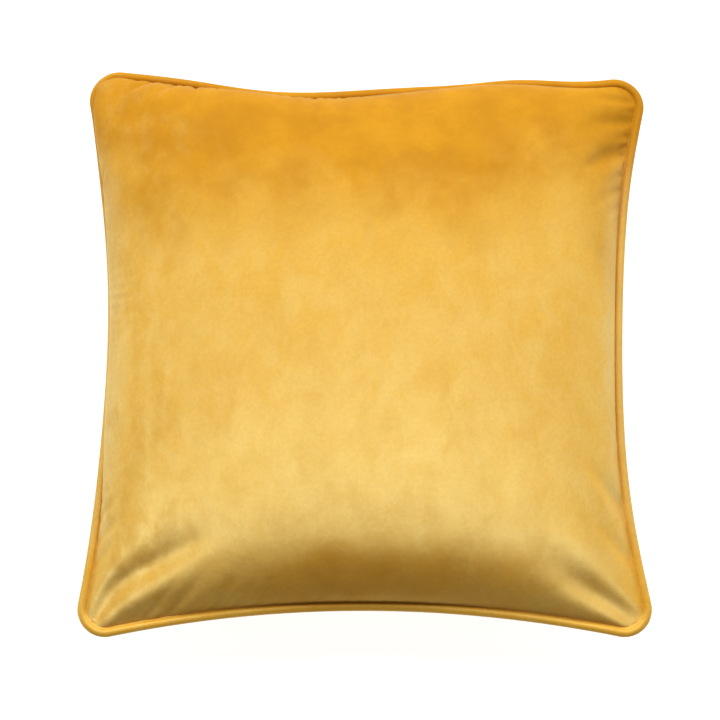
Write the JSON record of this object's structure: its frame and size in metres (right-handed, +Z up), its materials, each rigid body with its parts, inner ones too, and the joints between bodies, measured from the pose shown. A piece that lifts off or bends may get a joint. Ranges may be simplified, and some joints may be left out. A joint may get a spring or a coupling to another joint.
{
  "type": "throw pillow",
  "caption": "Square scatter cushion with drawn-in sides, a piped velvet cover with a concealed zip, and a fibre-filled inner pad.",
  "frame": {"origin": "under the middle of the cushion, on the surface it lies on, with its back panel down", "axes": "+Z up through the crown of the front panel; the zipped edge faces -Y; +X along that edge towards the closed slider"},
  "size_m": [0.4394, 0.4394, 0.136],
  "materials": {
    "velvet": "cut-pile velvet with a soft sheen",
    "piping_velvet": "bias-cut velvet",
    "cotton_cord": "twisted cotton",
    "sewing_thread": "polyester thread",
    "zip_tape": "woven polyester tape",
    "zip_nylon": "nylon coil",
    "zip_metal": "painted zinc alloy",
    "pad_cloth": "plain white cotton",
    "polyester_fibre": "hollow fibre filling",
    "pad_thread": "overlock thread"
  },
  "bodies": {
    "cushion": {"front_panel": "velvet", "back_panel": "velvet", "piping_sleeve": "piping_velvet", "piping_cord": "cotton_cord", "seam_thread": "sewing_thread", "zip_tape_upper": "zip_tape", "zip_tape_lower": "zip_tape", "zip_coil_upper": "zip_nylon", "zip_coil_lower": "zip_nylon", "zip_top_stops": "zip_metal", "zip_bottom_stop": "zip_metal", "zip_thread": "sewing_thread", "pad_casing_front": "pad_cloth", "pad_casing_back": "pad_cloth", "pad_filling": "polyester_fibre", "pad_thread": "pad_thread"},
    "slider": {"zip_slider": "zip_metal"},
    "pull": {"zip_pull": "zip_metal"}
  },
  "joints": [
    {"name": "slider_run", "type": "hinge", "parent": "cushion", "child": "slider", "pos_m": [0, -1.1705, 0.0502], "axis": [0, 0, 1], "range_deg": [0, 13.8]},
    {"name": "pull_swing", "type": "hinge", "parent": "slider", "child": "pull", "pos_m": [0.11713, -0.20256, 0.0502], "axis": [-0.9928, 0.1201, 0], "range_deg": [0, 145]}
  ]
}
